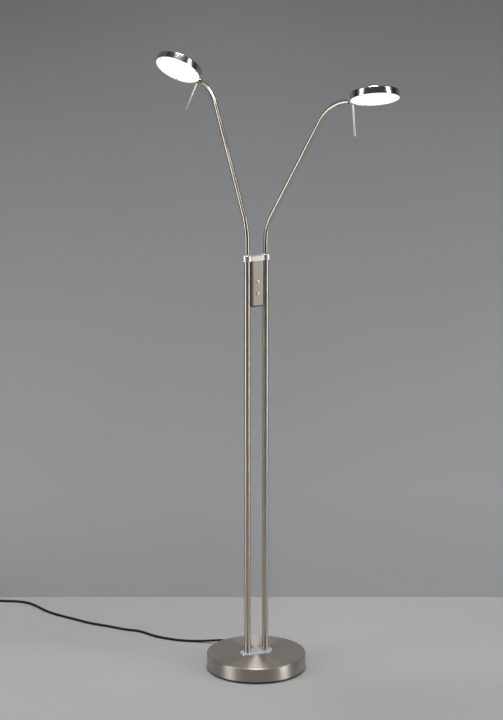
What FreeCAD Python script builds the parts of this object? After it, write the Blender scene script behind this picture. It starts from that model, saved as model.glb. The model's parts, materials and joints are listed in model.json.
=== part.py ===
"""Twin-pole floor lamp with two reading heads. Millimetres, +Z up.

The origin is on the floor under the middle of the round base. The poles stand side by side
along X, left pole at -X, and the switch box faces -Y. Each arm swivels about its pole, and
each disc-shaped head turns on a ball at the end of its arm.
"""
import FreeCAD, Part
import math
import os
import re

import Sketcher
from FreeCAD import Placement, Rotation, Vector

os.makedirs("parts", exist_ok=True)
doc = FreeCAD.newDocument("FloorLamp")
sheet = doc.addObject("Spreadsheet::Sheet", "Sizes")
nodes = []

# ---------------------------------------------------------------- driving dimensions
SIZES = {
    "floor_gap": 5,  # thickness of the foot pad, which lifts the cover off the floor
    "base_radius": 125,  # round base, outside
    "base_height": 40,  # floor to the top of the base cover
    "cover_wall": 1.5,  # pressed steel cover
    "cover_edge": 2.5,  # rounded upper edge of the cover
    "fit_gap": 0.3,  # slack between pressed and cast pieces
    "slide_gap": 0.05,  # radial running clearance of turned pieces
    "weight_gap": 3,  # between the cast iron weight and the cover's wall
    "weight_web": 11,  # thickness of its disc
    "weight_rim": 12.5,  # radial width of its downward rim
    "bottom_wall": 1.5,  # steel bottom plate
    "foot_inset": 7,  # the foam foot pad is smaller than the base
    "screw_inset": 13,  # three screws hold the bottom plate, this far inside the base
    "screw_start": 30,  # degrees from +X to the first of them
    "pole_spacing": 50,  # centre to centre
    "pole_radius": 8,
    "pole_wall": 1.2,
    "pole_top": 1066,  # floor to the upper end of both poles
    "plate_end_radius": 18,  # stadium plate on which the poles stand
    "plate_thick": 3,
    "stud_radius": 5,  # hollow threaded studs that hold the poles down
    "stud_bore": 3.5,
    "stud_hole": 5.3,
    "stud_bottom": 12,
    "stud_top": 60,
    "foot_plug_length": 20,  # threaded plug in the foot of each pole
    "nut_flats": 15,
    "nut_thick": 6,
    "washer_radius": 10,
    "washer_thick": 1.5,
    "driver_length": 90,  # power supply in the base
    "driver_width": 40,
    "driver_height": 14,
    "driver_place": -52,  # middle of the power supply, behind the front edge
    "gland_height": 13,  # centre of the cord where it leaves the base
    "gland_collar": 6.5,  # radius of the gland's flanges
    "gland_flange": 1.5,
    "gland_sleeve": 24,  # free length of its tapered sleeve
    "gland_thin": 4.2,  # radius at the end of the sleeve
    "gland_thick": 5.5,  # radius where the sleeve meets the flange
    "gland_slot": 5.6,  # half width of the notch in the cover
    "cord_radius": 3,
    "bridge_bottom": 1053,  # cross piece that ties the poles together
    "bridge_height": 15,  # its two rings
    "bridge_ring": 12.5,
    "bar_height": 12,
    "bar_front": 9.5,  # bar and switch box, from the pole plane to the front face
    "bar_back": 9.5,
    "bridge_edge": 1,
    "grub_radius": 2,
    "grub_length": 5,
    "box_half": 15,  # switch box, half its width
    "box_back": 12,  # from the pole plane to the rear face
    "box_bottom": 939,
    "box_wall": 1.5,
    "box_edge": 2.5,
    "box_cap": 3,  # moulded cap under the box
    "box_cap_lip": 4,
    "post_radius": 3,  # two posts carry the rear cover's screws
    "post_low": 955,
    "post_high": 1044,
    "screw_radius": 1.5,
    "screw_head": 2.7,
    "screw_head_thick": 1.6,
    "box_screw_place": 7,
    "board_back": 3.6,  # circuit board
    "board_thick": 1.6,
    "board_low": 961,
    "board_high": 1037,
    "button_high": 1001,  # two push buttons, one for each head
    "button_low": 971,
    "button_radius": 4,
    "button_proud": 3,
    "button_dome": 1.6,
    "button_flange": 5.4,
    "button_flange_thick": 1,
    "button_hole": 4.2,
    "button_stem": 2.8,
    "button_bore": 1.9,
    "button_stem_end": 2.6,  # stem, from the pole plane towards the front
    "button_bore_end": 5.8,
    "switch_half": 3,
    "switch_front": 1,
    "plunger_radius": 1.7,
    "plunger_end": 4.2,
    "arm_radius": 6,  # bent arm tube
    "arm_wall": 1,
    "arm_bottom": 1010,  # lower end of the arm, inside its pole
    "arm_bend_start": 1097.5,  # height where the lower bend begins
    "arm_low_bend": 128,  # bend radii on the centre line
    "arm_low_turn": 31.4,  # degrees
    "arm_slant": 288,  # straight stretch
    "arm_high_bend": 110,
    "arm_high_turn": 50.6,
    "arm_tip": 14,  # straight tip, up to the centre of the ball
    "arm_stop_thick": 6,
    "arm_stop_bore": 4,
    "bush_length": 40,  # plastic bush in the mouth of each pole
    "bush_flange": 1.5,
    "ball_radius": 6.5,  # ball joint under each head
    "seat_gap": 0.1,  # between the ball and its seat
    "seat_front": 5.05,  # seat's front face, back from the ball's centre
    "seat_flange": 1.55,
    "seat_stem": 6.4,
    "seat_bore": 2.5,
    "seat_edge": 1,
    "neck_radius": 4,
    "thread_radius": 3,  # threaded end of the neck, through the head's wall
    "thread_spare": 0.5,
    "neck_nut_gap": 0.4,  # for the wall's inner curve
    "neck_nut_thick": 3,
    "neck_nut_flats": 9,
    "rod_radius": 2.5,  # handle rod on each head
    "rod_length": 85,  # from the ball's centre plane to its tip
    "rod_socket": 3,  # its upper end, below the ball's centre plane
    "rod_offset": 3,  # from the ball's centre towards the head
    "rod_edge": 1,
    "head_gap": 7.5,  # ball centre to the head's outside wall
    "head_radius": 59,
    "head_depth": 18,
    "head_top_wall": 1.5,
    "head_wall": 3.5,
    "head_edge": 3.5,  # rounded back edge
    "head_lip": 1.4,  # thin rim round the diffuser
    "diffuser_thick": 3,
    "diffuser_sunk": 1,
    "boss_circle": 53,  # three bosses for the diffuser's screws
    "boss_radius": 3,
    "lens_screw_head": 2.2,
    "lens_screw_radius": 1.2,
    "lens_screw_length": 9,
    "spreader_radius": 48,  # aluminium heat spreader and the LED board on it
    "spreader_thick": 3.5,
    "led_board_radius": 46,
    "led_board_thick": 1.6,
    "led_screw_circle": 30,
    "arm_left_bearing": 90.8,  # degrees from +X, seen from above
    "arm_right_bearing": -66.2,
    "head_left_bearing": 175.4,  # direction from the ball to the middle of the head
    "head_left_rise": 34.4,
    "head_left_roll": 20.8,
    "head_right_bearing": -60.8,
    "head_right_rise": 16,
    "head_right_roll": -16.3,
    "head_left_screws": 0,  # turn of the diffuser screws about the head's own axis
    "head_right_screws": 30,
    "plug_half_width": 18,  # two-pin plug
    "plug_half_thick": 7,
    "plug_length": 34,
    "plug_nose": 16,
    "plug_edge": 4,
    "plug_boot": 20,  # tapered sleeve on the cord
    "plug_boot_end": 6,
    "plug_pin_radius": 2,
    "plug_pin_length": 19,
    "plug_pin_spacing": 19,
    "cord_lead": 6,  # straight ends of the coil
    "coil_pitch": 6.6,
    "coil_outer": 39.6,  # radius at which the cord enters the coil
    "coil_turns_in": 2,
    "coil_turns": 4.25,
    "coil_tail": 45,  # from the last turn down to the plug
}
for row, (alias, number) in enumerate(SIZES.items(), start=1):
    sheet.set("A%d" % row, str(number))
    sheet.setAlias("A%d" % row, alias)
doc.recompute()
WORDS = re.compile(r"\b(%s)\b" % "|".join(sorted(SIZES, key=len, reverse=True)))


def bound(text):
    """Expression with every size written as a reference to its sheet cell."""
    return WORDS.sub(r"Sizes.\1", str(text))


def size(text):
    """Present value of an expression in sheet names."""
    return float(sheet.evalExpression(bound(text)))


# ---------------------------------------------------------------- ways of making a piece
def new_body(label):
    made = doc.addObject("PartDesign::Body", label)
    made.Label = label
    nodes.append(made)
    return made


def new_sketch(body, name, role, lift=None):
    """Sketch on one of the body's own planes, raised along its normal by an expression."""
    drawn = body.newObject("Sketcher::SketchObject", name)
    plane = next(f for f in body.Origin.OriginFeatures if f.Role == role)
    drawn.AttachmentSupport = [(plane, "")]
    drawn.MapMode = "FlatFace"
    if lift is not None:
        drawn.setExpression("AttachmentOffset.Base.z", bound(lift))
    return drawn


def hold(drawn, kind, *where, to):
    """Dimension of a sketch, tied to an expression."""
    number = drawn.addConstraint(Sketcher.Constraint(kind, *where, size(to)))
    drawn.setExpression("Constraints[%d]" % number, bound(to))


def outline(body, name, role, corners, lift=None):
    """Closed straight-sided outline through corners given as pairs of expressions."""
    drawn = new_sketch(body, name, role, lift)
    spots = [Vector(size(x), size(y), 0) for x, y in corners]
    last = len(spots) - 1
    for i, spot in enumerate(spots):
        drawn.addGeometry(Part.LineSegment(spot, spots[0 if i == last else i + 1]))
    for i, (x, y) in enumerate(corners):
        drawn.addConstraint(Sketcher.Constraint("Coincident", i, 2, 0 if i == last else i + 1, 1))
        hold(drawn, "DistanceX", -1, 1, i, 1, to=x)
        hold(drawn, "DistanceY", -1, 1, i, 1, to=y)
    return drawn


def box_outline(body, name, role, low, high, lift=None):
    corners = [(low[0], low[1]), (high[0], low[1]), (high[0], high[1]), (low[0], high[1])]
    return outline(body, name, role, corners, lift)


def circles(body, name, role, rounds, lift=None):
    """Circles given as expressions for centre x, centre y and radius."""
    drawn = new_sketch(body, name, role, lift)
    for i, (x, y, radius) in enumerate(rounds):
        drawn.addGeometry(Part.Circle(Vector(size(x), size(y), 0), Vector(0, 0, 1), size(radius)))
        hold(drawn, "DistanceX", -1, 1, i, 3, to=x)
        hold(drawn, "DistanceY", -1, 1, i, 3, to=y)
        hold(drawn, "Radius", i, to=radius)
    return drawn


def hexagons(body, name, role, middles, flats, lift=None):
    """Regular hexagons, corners along the sketch's X, across the given flats."""
    corners = []
    for x, y in middles:
        reach = "(%s) / sqrt(3)" % flats
        ring = [("%s + %s * cos(%d)" % (x, reach, a), "%s + %s * sin(%d)" % (y, reach, a))
                for a in range(0, 360, 60)]
        corners.append(ring)
    drawn = new_sketch(body, name, role, lift)
    for ring in corners:
        first = drawn.GeometryCount
        spots = [Vector(size(x), size(y), 0) for x, y in ring]
        for i in range(6):
            drawn.addGeometry(Part.LineSegment(spots[i], spots[(i + 1) % 6]))
        for i, (x, y) in enumerate(ring):
            after = first + (i + 1) % 6
            drawn.addConstraint(Sketcher.Constraint("Coincident", first + i, 2, after, 1))
            hold(drawn, "DistanceX", -1, 1, first + i, 1, to=x)
            hold(drawn, "DistanceY", -1, 1, first + i, 1, to=y)
    return drawn


def pad(body, name, drawn, length, down=False):
    made = body.newObject("PartDesign::Pad", name)
    made.Profile = drawn
    made.setExpression("Length", bound(length))
    made.Reversed = down
    return made


def cut(body, name, drawn, length, along_normal=False):
    """Pocket; it runs against the sketch's normal unless told to run along it."""
    before = volume_of(body)
    made = body.newObject("PartDesign::Pocket", name)
    made.Profile = drawn
    made.setExpression("Length", bound(length))
    made.Reversed = along_normal
    if volume_of(body) > before - 0.01:
        raise SystemExit("%s of %s removes nothing" % (name, body.Label))
    return made


def volume_of(body):
    doc.recompute()
    return body.Shape.Volume


def turn(body, name, drawn, axis="V_Axis"):
    made = body.newObject("PartDesign::Revolution", name)
    made.Profile = drawn
    made.ReferenceAxis = (drawn, [axis])
    made.Angle = 360
    return made


def soften(body, name, radius, picks, kind="Fillet"):
    """Fillet or chamfer on the edges of the body's tip that the test picks."""
    doc.recompute()
    base = body.Tip
    edges = ["Edge%d" % (i + 1) for i, edge in enumerate(base.Shape.Edges) if picks(edge)]
    if not edges:
        raise SystemExit("%s of %s finds no edge" % (name, body.Label))
    made = body.newObject("PartDesign::" + kind, name)
    made.Base = (base, edges)
    made.setExpression("Radius" if kind == "Fillet" else "Size", bound(radius))
    return made


def round_edge(radius, height):
    """Test for full-circle edges of one radius at one height of the body's own Z."""
    def picks(edge):
        curve = edge.Curve
        if not isinstance(curve, Part.Circle):
            return False
        level = edge.BoundBox.ZMin
        flat = edge.BoundBox.ZLength < 1e-4
        return flat and abs(curve.Radius - size(radius)) < 1e-3 and abs(level - size(height)) < 1e-3
    return picks


def upright_edge(length):
    """Test for straight edges along Z of one length."""
    def picks(edge):
        straight = isinstance(edge.Curve, (Part.Line, Part.LineSegment))
        return straight and abs(edge.BoundBox.ZLength - size(length)) < 1e-3
    return picks


def place(body, text):
    body.setExpression("Placement", bound(text))


def compound_allowed(body):
    """Lets one node hold several like solids, such as the nuts of both poles."""
    body.AllowCompound = True


LEFT = "0 - pole_spacing / 2"
RIGHT = "pole_spacing / 2"
BOTH_POLES = ((LEFT, "0"), (RIGHT, "0"))
WEIGHT = "(base_radius - cover_wall - weight_gap)"
SCREW_CIRCLE = "(base_radius - screw_inset)"


# ---------------------------------------------------------------- base
def make_base_cover():
    """Pressed steel cup, open below, with two stud holes and a notch for the cord."""
    body = new_body("base_cover")
    inner = "base_radius - cover_wall"
    under = "base_height - cover_wall"
    wall = outline(body, "CoverProfile", "XZ_Plane", [
        ("0", under), (inner, under), (inner, "floor_gap"), ("base_radius", "floor_gap"),
        ("base_radius", "base_height"), ("0", "base_height")])
    turn(body, "CoverTurned", wall)
    soften(body, "CoverEdge", "cover_edge", round_edge("base_radius", "base_height"))
    soften(body, "CoverInnerEdge", "cover_edge - cover_wall", round_edge(inner, under))
    holes = circles(body, "StudHoles", "XY_Plane", [(x, y, "stud_hole") for x, y in BOTH_POLES],
                    lift="base_height + 1")
    cut(body, "StudHolesCut", holes, "cover_wall + 2")
    notch = box_outline(body, "Notch", "XZ_Plane", ("0 - gland_slot", "floor_gap - 1"),
                        ("gland_slot", "gland_height + gland_slot"), lift="0 - base_radius - 1")
    cut(body, "NotchCut", notch, "cover_wall + 4", along_normal=True)


def make_base_weight():
    """Cast iron disc with a downward rim; the cavity under it holds nuts and power supply."""
    body = new_body("base_weight")
    top = "base_height - cover_wall"
    web = "base_height - cover_wall - weight_web"
    foot = "floor_gap + bottom_wall"
    hollow = WEIGHT + " - weight_rim"
    drawn = outline(body, "WeightProfile", "XZ_Plane", [
        ("0", web), (hollow, web), (hollow, foot), (WEIGHT, foot),
        (WEIGHT, top + " - 2"), (WEIGHT + " - 2", top), ("0", top)])
    turn(body, "WeightTurned", drawn)
    holes = circles(body, "StudHoles", "XY_Plane", [(x, y, "stud_hole") for x, y in BOTH_POLES],
                    lift=top)
    cut(body, "StudHolesCut", holes, "weight_web")
    reach = "gland_collar + fit_gap"
    gate = box_outline(body, "CordGate", "XZ_Plane", ("0 - " + reach, "0"),
                       (reach, "gland_height + " + reach), lift="0 - %s - 1" % WEIGHT)
    cut(body, "CordGateCut", gate, "weight_rim + 6", along_normal=True)
    seats = circles(body, "ScrewHoles", "XY_Plane", around(SCREW_CIRCLE, "screw_start", "screw_radius"),
                    lift=foot)
    cut(body, "ScrewHolesCut", seats, "9", along_normal=True)


def around(circle, start, radius, count=3):
    """Equally spaced circles on a bolt circle."""
    step = 360 / count
    return [("(%s) * cos(%s + %g)" % (circle, start, i * step),
             "(%s) * sin(%s + %g)" % (circle, start, i * step), radius) for i in range(count)]


def make_base_bottom():
    body = new_body("base_bottom_plate")
    disc = circles(body, "Disc", "XY_Plane", [("0", "0", "base_radius - cover_wall - fit_gap")],
                   lift="floor_gap")
    pad(body, "DiscPad", disc, "bottom_wall")
    holes = circles(body, "ScrewHoles", "XY_Plane",
                    around(SCREW_CIRCLE, "screw_start", "screw_radius + slide_gap"), lift="floor_gap - 1")
    cut(body, "ScrewHolesCut", holes, "bottom_wall + 2", along_normal=True)
    edge = "base_radius - cover_wall - gland_collar"
    gate = box_outline(body, "GlandGate", "XY_Plane", ("0 - gland_collar - fit_gap", edge),
                       ("gland_collar + fit_gap", "base_radius"), lift="floor_gap - 1")
    cut(body, "GlandGateCut", gate, "bottom_wall + 2", along_normal=True)


def make_base_screws():
    body = new_body("base_screws")
    compound_allowed(body)
    heads = circles(body, "Heads", "XY_Plane", around(SCREW_CIRCLE, "screw_start", "screw_head"),
                    lift="floor_gap")
    pad(body, "HeadsPad", heads, "screw_head_thick", down=True)
    shanks = circles(body, "Shanks", "XY_Plane",
                     around(SCREW_CIRCLE, "screw_start", "screw_radius - slide_gap"), lift="floor_gap")
    pad(body, "ShanksPad", shanks, "bottom_wall + 8")


def make_foot_pad():
    """Dense foam disc that the whole lamp stands on, with pockets round the screw heads."""
    body = new_body("foot_pad")
    disc = circles(body, "Disc", "XY_Plane", [("0", "0", "base_radius - foot_inset")])
    pad(body, "DiscPad", disc, "floor_gap")
    pockets = circles(body, "HeadPockets", "XY_Plane",
                      around(SCREW_CIRCLE, "screw_start", "screw_head + fit_gap"), lift="floor_gap")
    cut(body, "HeadPocketsCut", pockets, "screw_head_thick + fit_gap")


def make_power_supply():
    """Moulded case of the LED power supply, lying on the bottom plate."""
    body = new_body("power_supply")
    case = box_outline(body, "Case", "XY_Plane",
                       ("0 - driver_length / 2", "driver_place - driver_width / 2"),
                       ("driver_length / 2", "driver_place + driver_width / 2"),
                       lift="floor_gap + bottom_wall")
    pad(body, "CasePad", case, "driver_height")
    soften(body, "CaseEdges", "3", upright_edge("driver_height"))


def make_pole_plate():
    """Chromed stadium-shaped plate between the poles and the cover."""
    body = new_body("pole_plate")
    drawn = new_sketch(body, "Stadium", "XY_Plane", lift="base_height")
    reach = size(RIGHT)
    end = size("plate_end_radius")
    quarter = math.pi / 2
    drawn.addGeometry(Part.LineSegment(Vector(-reach, end, 0), Vector(reach, end, 0)))
    right_end = Part.Circle(Vector(reach, 0, 0), Vector(0, 0, 1), end)
    drawn.addGeometry(Part.ArcOfCircle(right_end, -quarter, quarter))
    drawn.addGeometry(Part.LineSegment(Vector(-reach, -end, 0), Vector(reach, -end, 0)))
    left_end = Part.Circle(Vector(-reach, 0, 0), Vector(0, 0, 1), end)
    drawn.addGeometry(Part.ArcOfCircle(left_end, quarter, 3 * quarter))
    for one, at, other, to in ((0, 2, 1, 2), (1, 1, 2, 2), (2, 1, 3, 2), (3, 1, 0, 1)):
        drawn.addConstraint(Sketcher.Constraint("Tangent", one, at, other, to))
    hold(drawn, "DistanceX", -1, 1, 1, 3, to=RIGHT)
    hold(drawn, "DistanceY", -1, 1, 1, 3, to="0")
    hold(drawn, "DistanceX", -1, 1, 3, 3, to=LEFT)
    hold(drawn, "Radius", 1, to="plate_end_radius")
    pad(body, "StadiumPad", drawn, "plate_thick")
    holes = circles(body, "StudHoles", "XY_Plane", [(x, y, "stud_hole") for x, y in BOTH_POLES],
                    lift="base_height + plate_thick + 1")
    cut(body, "StudHolesCut", holes, "plate_thick + 2")

    def rim(edge):
        box = edge.BoundBox
        level = abs(box.ZMax - size("base_height + plate_thick")) < 1e-3 and box.ZLength < 1e-3
        return level and box.DiagonalLength > 30
    soften(body, "PlateEdge", "0.5", rim)


def tube(label, x, outer, inner, bottom, length):
    """Upright tube, ring or sleeve."""
    body = new_body(label)
    ring = circles(body, "Ring", "XY_Plane", [("0", "0", outer), ("0", "0", inner)])
    pad(body, "RingPad", ring, length)
    place(body, "placement(vector(%s; 0; %s); rotationz(0))" % (x, bottom))
    return body


def make_poles():
    foot = "base_height + plate_thick"
    for side, x in (("left", LEFT), ("right", RIGHT)):
        tube("pole_" + side, x, "pole_radius", "pole_radius - pole_wall", foot,
             "pole_top - base_height - plate_thick")


def pair(label, outer, inner, bottom, length):
    """Two like rings in one node, one on each pole's axis."""
    body = new_body(label)
    compound_allowed(body)
    rounds = [(x, y, r) for x, y in BOTH_POLES for r in (outer, inner)]
    pad(body, "RingsPad", circles(body, "Rings", "XY_Plane", rounds, lift=bottom), length)
    return body


def make_pole_fixings():
    """Studs through plate, cover and weight, with a washer and a nut under the weight."""
    foot = "base_height + plate_thick"
    web = "base_height - cover_wall - weight_web"
    pair("pole_plugs", "pole_radius - pole_wall - slide_gap", "stud_radius + slide_gap",
         foot, "foot_plug_length")
    pair("pole_studs", "stud_radius", "stud_bore", "stud_bottom", "stud_top - stud_bottom")
    pair("pole_washers", "washer_radius", "stud_hole", web + " - washer_thick", "washer_thick")
    body = new_body("pole_nuts")
    compound_allowed(body)
    top = web + " - washer_thick"
    nuts = hexagons(body, "Nuts", "XY_Plane", BOTH_POLES, "nut_flats", lift=top)
    pad(body, "NutsPad", nuts, "nut_thick", down=True)
    holes = circles(body, "Threads", "XY_Plane",
                    [(x, y, "stud_radius + slide_gap") for x, y in BOTH_POLES], lift=top)
    cut(body, "ThreadsCut", holes, "nut_thick")


# ---------------------------------------------------------------- cross piece and switch box
def make_bridge():
    """Cross piece: two rings clamped round the poles and a bar between them."""
    body = new_body("bridge")
    bar = box_outline(body, "Bar", "XY_Plane", (LEFT, "0 - bar_front"), (RIGHT, "bar_back"),
                      lift="bridge_bottom")
    pad(body, "BarPad", bar, "bar_height")
    rings = circles(body, "Rings", "XY_Plane", [(x, y, "bridge_ring") for x, y in BOTH_POLES],
                    lift="bridge_bottom")
    pad(body, "RingsPad", rings, "bridge_height")
    holes = circles(body, "PoleHoles", "XY_Plane",
                    [(x, y, "pole_radius + slide_gap") for x, y in BOTH_POLES],
                    lift="bridge_bottom - 1")
    cut(body, "PoleHolesCut", holes, "bridge_height + 2", along_normal=True)
    soften(body, "TopEdges", "bridge_edge",
           round_edge("bridge_ring", "bridge_bottom + bridge_height"))
    screws = circles(body, "BoxScrewHoles", "XY_Plane", box_screw_rounds("screw_radius"),
                     lift="bridge_bottom")
    cut(body, "BoxScrewHolesCut", screws, "8", along_normal=True)
    middle = "bridge_bottom + bar_height / 2"
    grubs = circles(body, "GrubHoles", "XZ_Plane",
                    [(x, middle, "grub_radius + slide_gap") for x, _ in BOTH_POLES],
                    lift="0 - bridge_ring - 1")
    cut(body, "GrubHolesCut", grubs, "bridge_ring - pole_radius + 2", along_normal=True)


def box_screw_rounds(radius):
    return [("0 - box_screw_place", "0", radius), ("box_screw_place", "0", radius)]


def make_grub_screws():
    """One set screw at the back of each ring, bearing on its pole."""
    body = new_body("bridge_set_screws")
    compound_allowed(body)
    middle = "bridge_bottom + bar_height / 2"
    ends = circles(body, "Screws", "XZ_Plane", [(x, middle, "grub_radius") for x, _ in BOTH_POLES],
                   lift="0 - pole_radius - fit_gap")
    pad(body, "ScrewsPad", ends, "grub_length", down=True)


def make_box_housing():
    """Front, sides and top of the switch box, with two button holes and two screw posts."""
    body = new_body("switch_box_housing")
    low = "box_bottom + box_cap"
    height = "bridge_bottom - box_bottom - box_cap"
    solid = box_outline(body, "Outside", "XY_Plane", ("0 - box_half", "0 - bar_front"),
                        ("box_half", "box_back"), lift=low)
    pad(body, "OutsidePad", solid, height)
    soften(body, "OutsideEdges", "box_edge", upright_edge(height))
    inside = box_outline(body, "Inside", "XY_Plane",
                         ("0 - box_half + box_wall", "0 - bar_front + box_wall"),
                         ("box_half - box_wall", "box_back + 1"), lift=low)
    cut(body, "InsideCut", inside, height + " - box_wall", along_normal=True)
    posts = circles(body, "Posts", "XZ_Plane", post_rounds("post_radius"),
                    lift="bar_front - box_wall")
    pad(body, "PostsPad", posts, "bar_front + box_back - 2 * box_wall", down=True)
    pilots = circles(body, "Pilots", "XZ_Plane", post_rounds("screw_radius"),
                     lift="0 - box_back + box_wall")
    cut(body, "PilotsCut", pilots, "10", along_normal=True)
    buttons = circles(body, "ButtonHoles", "XZ_Plane",
                      [("0", z, "button_hole") for z in ("button_high", "button_low")],
                      lift="bar_front + 1")
    cut(body, "ButtonHolesCut", buttons, "box_wall + 2")
    screws = circles(body, "ScrewHoles", "XY_Plane", box_screw_rounds("screw_radius + slide_gap"),
                     lift="bridge_bottom + 1")
    cut(body, "ScrewHolesCut", screws, "box_wall + 2")


def post_rounds(radius):
    return [("0", z, radius) for z in ("post_low", "post_high")]


def make_box_rear():
    body = new_body("switch_box_rear_cover")
    side = "box_half - box_wall - fit_gap"
    plate = box_outline(body, "Plate", "XZ_Plane", ("0 - (%s)" % side, "box_bottom + box_cap"),
                        (side, "bridge_bottom - box_wall - fit_gap"), lift="0 - box_back")
    pad(body, "PlatePad", plate, "box_wall")
    holes = circles(body, "ScrewHoles", "XZ_Plane", post_rounds("screw_radius + slide_gap"),
                    lift="0 - box_back - 1")
    cut(body, "ScrewHolesCut", holes, "box_wall + 2", along_normal=True)


def make_rear_screws():
    body = new_body("rear_cover_screws")
    compound_allowed(body)
    heads = circles(body, "Heads", "XZ_Plane", post_rounds("screw_head"), lift="0 - box_back")
    pad(body, "HeadsPad", heads, "screw_head_thick", down=True)
    shanks = circles(body, "Shanks", "XZ_Plane", post_rounds("screw_radius - slide_gap"),
                     lift="0 - box_back")
    pad(body, "ShanksPad", shanks, "9")


def make_box_screws():
    """Two screws from inside the box up into the bar."""
    body = new_body("box_screws")
    compound_allowed(body)
    top = "bridge_bottom - box_wall"
    heads = circles(body, "Heads", "XY_Plane", box_screw_rounds("screw_head"), lift=top)
    pad(body, "HeadsPad", heads, "screw_head_thick", down=True)
    shanks = circles(body, "Shanks", "XY_Plane", box_screw_rounds("screw_radius - slide_gap"),
                     lift=top)
    pad(body, "ShanksPad", shanks, "9")


def make_box_cap():
    """Moulded cap that closes the lower end of the switch box."""
    body = new_body("switch_box_cap")
    plate = box_outline(body, "Plate", "XY_Plane", ("0 - box_half", "0 - bar_front"),
                        ("box_half", "box_back"), lift="box_bottom")
    pad(body, "PlatePad", plate, "box_cap")
    soften(body, "PlateEdges", "box_edge", upright_edge("box_cap"))
    side = "box_half - box_wall - fit_gap"
    lip = box_outline(body, "Lip", "XY_Plane", ("0 - (%s)" % side, "0 - bar_front + box_wall + 0.2"),
                      (side, "box_back - box_wall - fit_gap"), lift="box_bottom + box_cap")
    pad(body, "LipPad", lip, "box_cap_lip")


def make_switch_board():
    body = new_body("switch_board")
    side = "box_half - box_wall - fit_gap"
    board = box_outline(body, "Board", "XZ_Plane", ("0 - (%s)" % side, "board_low"),
                        (side, "board_high"), lift="0 - board_back")
    pad(body, "BoardPad", board, "board_thick")


def make_push_switches():
    """Two small push switches soldered to the board, each with its plunger."""
    body = new_body("push_switches")
    compound_allowed(body)
    seat = "0 - board_back + board_thick"
    for name, z in (("Low", "button_low"), ("High", "button_high")):
        case = box_outline(body, name + "Case", "XZ_Plane",
                           ("0 - switch_half", z + " - switch_half"),
                           ("switch_half", z + " + switch_half"), lift=seat)
        pad(body, name + "CasePad", case, "board_back - board_thick + switch_front")
    plungers = circles(body, "Plungers", "XZ_Plane",
                       [("0", z, "plunger_radius") for z in ("button_low", "button_high")],
                       lift="switch_front")
    pad(body, "PlungersPad", plungers, "plunger_end - switch_front")


def make_button(label, height):
    """Domed button: dome, collar behind the front wall, and a hollow stem on the plunger."""
    body = new_body(label)
    wall = "bar_front - box_wall"
    face = "bar_front + button_proud"
    drawn = outline(body, "ButtonProfile", "XY_Plane", [
        ("0", "0 - (%s)" % face), ("button_radius - button_dome", "0 - (%s)" % face),
        ("button_radius", "0 - (%s) + button_dome" % face), ("button_radius", "0 - (%s)" % wall),
        ("button_flange", "0 - (%s)" % wall), ("button_flange", "0 - (%s) + button_flange_thick" % wall),
        ("button_stem", "0 - (%s) + button_flange_thick" % wall), ("button_stem", "0 - button_stem_end"),
        ("button_bore", "0 - button_stem_end"), ("button_bore", "0 - button_bore_end"),
        ("0", "0 - button_bore_end")])
    turn(body, "ButtonTurned", drawn)
    place(body, "placement(vector(0; 0; %s); rotationz(0))" % height)


# ---------------------------------------------------------------- arms
def make_arm_supports():
    """Stop ring and plastic bush that carry each arm inside the mouth of its pole."""
    inner = "pole_radius - pole_wall - slide_gap"
    pair("arm_stops", inner, "arm_stop_bore", "arm_bottom - arm_stop_thick", "arm_stop_thick")
    for side, x in (("left", LEFT), ("right", RIGHT)):
        body = new_body("arm_bush_" + side)
        bore = "arm_radius + slide_gap"
        drawn = outline(body, "BushProfile", "XZ_Plane", [
            (bore, "0 - bush_length"), (inner, "0 - bush_length"), (inner, "0"),
            ("pole_radius", "0"), ("pole_radius", "bush_flange"), (bore, "bush_flange")])
        turn(body, "BushTurned", drawn)
        place(body, "placement(vector(%s; 0; pole_top); rotationz(0))" % x)


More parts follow.
